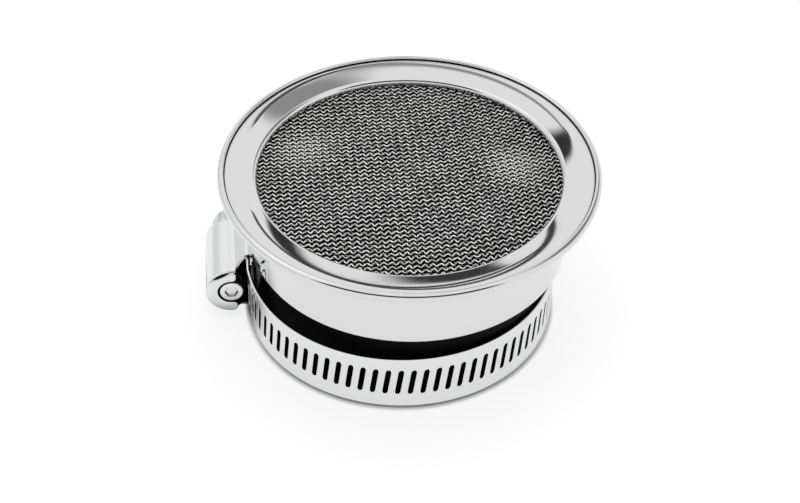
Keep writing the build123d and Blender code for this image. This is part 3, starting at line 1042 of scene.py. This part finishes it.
class FILTER_OT_clamp_housing(Operator):
    """Fold the housing's sheet, arch its wings, and add the end plate round the screw"""

    bl_idname = "filter.clamp_housing"
    bl_label = "Clamp housing"

    def execute(self, context):
        material = zinc_finish("housing_zinc", settings().finishes.zinc)
        sheet = self.folded_sheet()
        plate = self.end_plate()
        along, outward = clamp_axes()[1:]
        for piece in (sheet, plate):
            lay_on_clamp(piece, along, outward, UP)
            apply_modifier(piece, "WEIGHTED_NORMAL", keep_sharp=True)
            dress(piece, material, "clamp_housing")
        return {"FINISHED"}

    def folded_sheet(self):
        """Barrel, wings and flanges: a section across the screw, drawn out along it."""
        sizes = settings().housing
        band = settings().band
        low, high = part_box("clamp_band")
        half = sizes.sheet / 2
        middle_r = sizes.barrel_radius - half
        wing_z = (high.z - low.z) / 2 + sizes.clearance + half
        wing_y = band.thickness / 2 - band.axis_rise
        under_y = wing_y - 2 * band.thickness - band.lap_gap - sizes.clearance - half
        front = sizes.front_inset
        drawn = Outline("housing_sheet", (front, under_y, sizes.flange - wing_z))
        drawn.run((front, under_y, -wing_z), steps=3)
        drawn.run((front, wing_y, -wing_z), steps=4)
        drawn.run((front, -sizes.wing_start, -middle_r), steps=6)
        drawn.run((front, 0, -middle_r))
        drawn.arc((front, 0, 0), (-1, 0, 0), math.pi, 40)
        drawn.run((front, -sizes.wing_start, middle_r))
        drawn.run((front, wing_y, wing_z), steps=6)
        drawn.run((front, under_y, wing_z), steps=4)
        drawn.run((front, under_y, wing_z - sizes.flange), steps=3)
        piece = drawn.piece
        select_all()
        first_step = sizes.wing_arch + half
        extrude(first_step, 0, 0)
        extrude(sizes.body_length - front - first_step, 0, 0)
        for point in points_of(piece):
            if abs(point.x - front) < NEAR:
                offset = point.y + sizes.wing_start + sizes.wing_arch
                arch = math.sqrt(max(sizes.wing_arch**2 - offset**2, 0))
                point.x = max(point.x, arch)
        face_outwards()
        apply_modifier(piece, "SOLIDIFY", thickness=sizes.sheet, offset=0, use_even_offset=True)
        round_edges(piece, sizes.sheet_round, 3)
        bpy.ops.object.shade_smooth_by_angle(angle=FOLDED_EDGE)
        return piece

    def end_plate(self):
        """Plate with a hole that is open towards the band, round ended arms and a gap at its upper edge."""
        sizes = settings().housing
        drawn = Outline("housing_plate", (0, -sizes.plate_arm, sizes.plate_hole))
        drawn.run((0, -sizes.plate_arm, sizes.barrel_radius))
        piece = drawn.piece
        select_all()
        extrude(0, sizes.plate_arm, 0)
        bpy.ops.mesh.spin(steps=60, angle=math.pi, center=(0, 0, 0), axis=(1, 0, 0))
        extrude(0, -sizes.plate_arm, 0)
        self.open_crescent(piece)
        select_all()
        extrude(sizes.plate, 0, 0)
        select(piece, "EDGE", lambda start, end: abs(start.x - end.x) > sizes.plate / 2
               and abs(start.y + sizes.plate_arm) < NEAR)
        bpy.ops.mesh.bevel(offset=sizes.arm_round, segments=6, affect="EDGES")
        face_outwards()
        round_edges(piece, sizes.plate_round, 3)
        bpy.ops.object.shade_smooth_by_angle(angle=FOLDED_EDGE)
        return piece

    def open_crescent(self, piece):
        """Lower the plate's upper edge, so that a narrow crescent stays open under the barrel."""
        sizes = settings().housing
        for point in points_of(piece):
            turn = math.atan2(point.y, point.z)
            reach = (turn - sizes.crescent_start) / (sizes.crescent_end - sizes.crescent_start)
            radius = point.length
            if 0 < reach < 1 and radius > sizes.barrel_radius - NEAR:
                point *= (radius - sizes.crescent * math.sin(math.pi * reach)) / radius


class FILTER_OT_clamp_screw(Operator):
    """Turn the screw's shaft, wind its thread and dome and slot its head"""

    bl_idname = "filter.clamp_screw"
    bl_label = "Clamp screw"

    edge = 0.2 * MM  # rounding of the turned edges, and how far the thread goes into the core

    def execute(self, context):
        finishes = settings().finishes
        # The worm mask gives the thread painted shade.
        plate = zinc_finish("screw_zinc", finishes.zinc, worm)
        # The head is the same zinc plate, darker as painted shade.
        shaded_head_finish = zinc_finish("shaded_head_zinc", finishes.head)
        along, outward = clamp_axes()[1:]
        for piece, material in ((self.shaft(), plate), (self.thread(), plate), (self.head(), shaded_head_finish)):
            lay_on_clamp(piece, UP, -outward, along)
            bpy.ops.object.shade_smooth_by_angle(angle=TURNED_EDGE)
            apply_modifier(piece, "WEIGHTED_NORMAL", keep_sharp=True)
            dress(piece, material, "clamp_screw", "screw")
        return {"FINISHED"}

    def shaft(self):
        """Tail with a hexagonal recess, core and collar."""
        sizes = settings().screw
        edge = self.edge
        tail_r, collar_r = sizes.journal_radius, sizes.collar_radius
        collar, collar_end = sizes.collar_start, sizes.collar_start + sizes.collar_thickness
        section = Section("screw_shaft", 0, 0)
        section.to((tail_r - edge, 0))
        section.bend(tail_r - edge, edge, 90, 4)
        section.to((tail_r, sizes.journal_length), (sizes.core_radius, sizes.journal_length))
        section.to((sizes.core_radius, collar), (collar_r - edge, collar))
        section.bend(collar_r - edge, collar + edge, 90, 4)
        section.to((collar_r, collar_end - edge))
        section.bend(collar_r - edge, collar_end - edge, 90, 4)
        section.to((0, collar_end))
        shaft = section.spun(64)
        cutter = add_piece(
            "recess_cutter",
            bpy.ops.mesh.primitive_cone_add,
            vertices=6,
            radius1=sizes.recess * (1 + sizes.recess_slant),
            radius2=sizes.recess * (1 - sizes.recess_slant),
            depth=2 * sizes.recess_depth,
        )
        cut(shaft, cutter)
        return shaft

    def thread(self):
        """One turn of the thread's section after another, round the core."""
        sizes = settings().screw
        root = sizes.core_radius - self.edge
        width = sizes.crest_width
        pitch = settings().band.slot_pitch
        start = sizes.journal_length + pitch / 2
        section = Section("screw_thread", root, start - width)
        section.to((sizes.crest_radius, start - width / 2), (sizes.crest_radius, start + width / 2))
        section.to((root, start + width))
        piece = section.piece
        select_all()
        bpy.ops.mesh.edge_face_add()
        bpy.ops.mesh.delete(type="ONLY_FACE")
        leave()
        winding = {"screw_offset": pitch, "iterations": sizes.turns, "steps": 32, "render_steps": 32}
        apply_modifier(piece, "SCREW", **winding)
        edit()
        select_all()
        bpy.ops.mesh.fill_holes(sides=4)
        face_outwards()
        return piece

    def head(self):
        """Hexagon with soft corners, a domed end and a slot across it."""
        sizes = settings().screw
        start = sizes.collar_start + sizes.collar_thickness
        end = start + sizes.head_length
        piece = add_piece(
            "screw_head",
            bpy.ops.mesh.primitive_cylinder_add,
            vertices=6,
            radius=sizes.head_corner,
            depth=sizes.head_length,
            location=(0, 0, (start + end) / 2),
        )
        edit()
        select(piece, "EDGE", lambda first, second: abs(first.z - second.z) > sizes.head_length / 2)
        bpy.ops.mesh.bevel(offset=sizes.head_softness, segments=5, affect="EDGES")
        select(piece, "EDGE", lambda first, second: min(first.z, second.z) > end - NEAR)
        bpy.ops.mesh.bevel(offset=sizes.head_dome, segments=6, affect="EDGES")
        select(piece, "EDGE", lambda first, second: max(first.z, second.z) < start + NEAR)
        bpy.ops.mesh.bevel(offset=sizes.head_foot, segments=6, affect="EDGES")
        leave()
        slot = add_piece(
            "slot_cutter",
            bpy.ops.mesh.primitive_cube_add,
            scale=(3 * sizes.head_corner, sizes.head_slot, 2 * sizes.head_slot_depth),
            size=1,
            location=(0, 0, end),
        )
        cut(piece, slot)
        round_edges(piece, sizes.head_round, 2)
        return piece


class FILTER_OT_stage(Operator):
    """Lay the floor, light it softly and set up the camera"""

    bl_idname = "filter.stage"
    bl_label = "Stage"

    def execute(self, context):
        self.floor()
        self.sky()
        self.lamp()
        for card in CARDS:
            self.card(*card)
        self.camera()
        context.scene.view_settings.view_transform = "Standard"
        return {"FINISHED"}

    def shown(self, tree, in_mirrors=1.0):
        """1 for rays from the camera and from mirrors and glass, 0 for the light on matt surfaces."""
        seen = tree.node("ShaderNodeLightPath", output="Is Camera Ray")
        mirrored = tree.node("ShaderNodeLightPath", output="Is Glossy Ray")
        through = tree.node("ShaderNodeLightPath", output="Is Transmission Ray")
        return seen + mirrored * in_mirrors + through

    def floor(self):
        """White paper, with a painted shadow inside the band's loop, and darker for mirrors beside the housing.
        """
        stage = settings().stage
        floor = add_piece("floor", bpy.ops.mesh.primitive_plane_add, size=stage.floor_size)
        material, tree = new_finish("floor_paper")
        white = tree.node("ShaderNodeEmission", None, {"Color": WHITE, "Strength": 1.0})
        loop = loop_middle()
        loop_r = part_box("clamp_band")[1].x - loop.x
        fade = stage.loop_fade
        clear = ramp(tree, radius_of(tree, loop), loop_r, loop_r + fade)
        outside = ramp(tree, radius_of(tree, loop), loop_r - 2 * fade, loop_r - fade)
        low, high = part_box("clamp_housing")
        housing = ((low.x + high.x) / 2, (low.y + high.y) / 2, 0)
        beside = ramp(tree, radius_of(tree, housing), stage.shade_start, stage.shade_end)
        mirrored = tree.node("ShaderNodeLightPath", output="Is Glossy Ray")
        # Painted shadow inside the loop, and painted shade beside the housing for mirrors.
        lit = outside * (1 - mirrored * (1 - beside) * stage.housing_shade)
        paper = tree.node("ShaderNodeBsdfDiffuse", None, {
            "Color": blend(tree, lit, stage.loop_shadow, stage.paper),
        })
        factor = self.shown(tree, beside) * stage.floor_shine * clear
        mixed = tree.node("ShaderNodeMixShader", None, {0: factor, 1: paper, 2: white})
        tree.node("ShaderNodeOutputMaterial", None, {"Surface": mixed})
        floor.data.materials.append(material)

    def sky(self):
        """Soft light from all round, white where the camera and mirrors see it."""
        world = bpy.data.worlds.new("studio")
        bpy.context.scene.world = world
        world.use_nodes = True
        world.node_tree.nodes.clear()
        tree = Socket(world.node_tree)
        level = settings().stage.sky
        soft = tree.node("ShaderNodeBackground", None, {"Color": WHITE, "Strength": level})
        white = tree.node("ShaderNodeBackground", None, {"Color": WHITE, "Strength": 1.0})
        mixed = tree.node("ShaderNodeMixShader", None, {0: self.shown(tree), 1: soft, 2: white})
        tree.node("ShaderNodeOutputWorld", None, {"Surface": mixed})

    def lamp(self):
        """A wide lamp overhead that mirrors don't see."""
        stage = settings().stage
        bpy.ops.object.light_add(type="AREA", location=(0, 0, stage.lamp_height))
        lamp = bpy.context.object
        lamp.name = "soft_lamp"
        lamp.data.size = stage.lamp_size
        lamp.data.energy = stage.lamp_power
        lamp.visible_glossy = False

    def card(self, name, start, end, start_width, end_width, level):
        """A grey card with soft sides that only mirrors see."""
        stage = settings().stage
        card = add_piece(name, bpy.ops.mesh.primitive_grid_add, x_subdivisions=12, y_subdivisions=6, size=1)
        start, end = Vector(start), Vector(end)
        aside = (end - start).orthogonal().normalized()
        edit()
        for point in points_of(card):
            reach = point.x + 0.5
            width = start_width + (end_width - start_width) * reach
            azimuth, elevation = start.lerp(end, reach) + aside * (width * point.y)
            tilt = Matrix.Rotation(math.radians(elevation), 3, "X")
            turn = Matrix.Rotation(math.radians(-azimuth), 3, "Z")
            point.xyz = turn @ tilt @ Vector((0, stage.card_distance, 0))
        leave()
        material, tree = new_finish(name)
        sideways = tree.node("ShaderNodeSeparateXYZ", None, {0: coordinates(tree, "UV")}, output=1)
        edge = tree.math("MINIMUM", sideways, 1 - sideways)
        grey = tree.node("ShaderNodeEmission", None, {"Color": WHITE, "Strength": level})
        clear = tree.node("ShaderNodeBsdfTransparent")
        inside = ramp(tree, edge, 0, stage.card_fade)
        soft = tree.node("ShaderNodeMixShader", None, {0: inside, 1: clear, 2: grey})
        tree.node("ShaderNodeOutputMaterial", None, {"Surface": soft})
        card.data.materials.append(material)
        for rays in ("camera", "diffuse", "transmission", "shadow"):
            setattr(card, f"visible_{rays}", False)

    def camera(self):
        """The photograph's viewing angle and frame."""
        stage = settings().stage
        bpy.ops.object.camera_add(location=stage.camera_place)
        camera = bpy.context.object
        camera.rotation_mode = "ZYX"
        camera.rotation_euler = (stage.camera_tilt, 0, stage.camera_roll)
        camera.data.lens = stage.lens
        camera.data.sensor_width = 36.0
        camera.data.sensor_fit = "HORIZONTAL"
        camera.data.clip_start = 0.01
        bpy.context.scene.camera = camera


PIECES = (
    FILTER_OT_bell_shell,
    FILTER_OT_cover_ring,
    FILTER_OT_wire_mesh,
    FILTER_OT_rubber_sleeve,
    FILTER_OT_filter_foam,
    FILTER_OT_clamp_band,
    FILTER_OT_clamp_housing,
    FILTER_OT_clamp_screw,
    FILTER_OT_stage,
)


class FILTER_PT_sidebar(Panel):
    """Lists the pieces and the settings"""

    bl_idname = "FILTER_PT_sidebar"
    bl_label = "Air filter"
    bl_space_type = "VIEW_3D"
    bl_region_type = "UI"
    bl_category = "Air filter"

    def draw(self, context):
        for piece in PIECES:
            self.layout.operator(piece.bl_idname)
        for group in FilterSettings.__annotations__:
            box = self.layout.box()
            box.label(text=group.title())
            sizes = getattr(context.scene.air_filter, group)
            for name in sizes.__annotations__:
                box.prop(sizes, name)


CLASSES = (
    ShellSizes,
    RingSizes,
    MeshSizes,
    SleeveSizes,
    BandSizes,
    HousingSizes,
    ScrewSizes,
    Finishes,
    StageSettings,
    FilterSettings,
    *PIECES,
    FILTER_PT_sidebar,
)


def register():
    for item in CLASSES:
        bpy.utils.register_class(item)
    bpy.types.Scene.air_filter = PointerProperty(type=FilterSettings)


def unregister():
    del bpy.types.Scene.air_filter
    for item in reversed(CLASSES):
        bpy.utils.unregister_class(item)


def main():
    register()
    for piece in PIECES:
        group, name = piece.bl_idname.split(".")
        getattr(getattr(bpy.ops, group), name)()


if __name__ == "__main__":
    main()
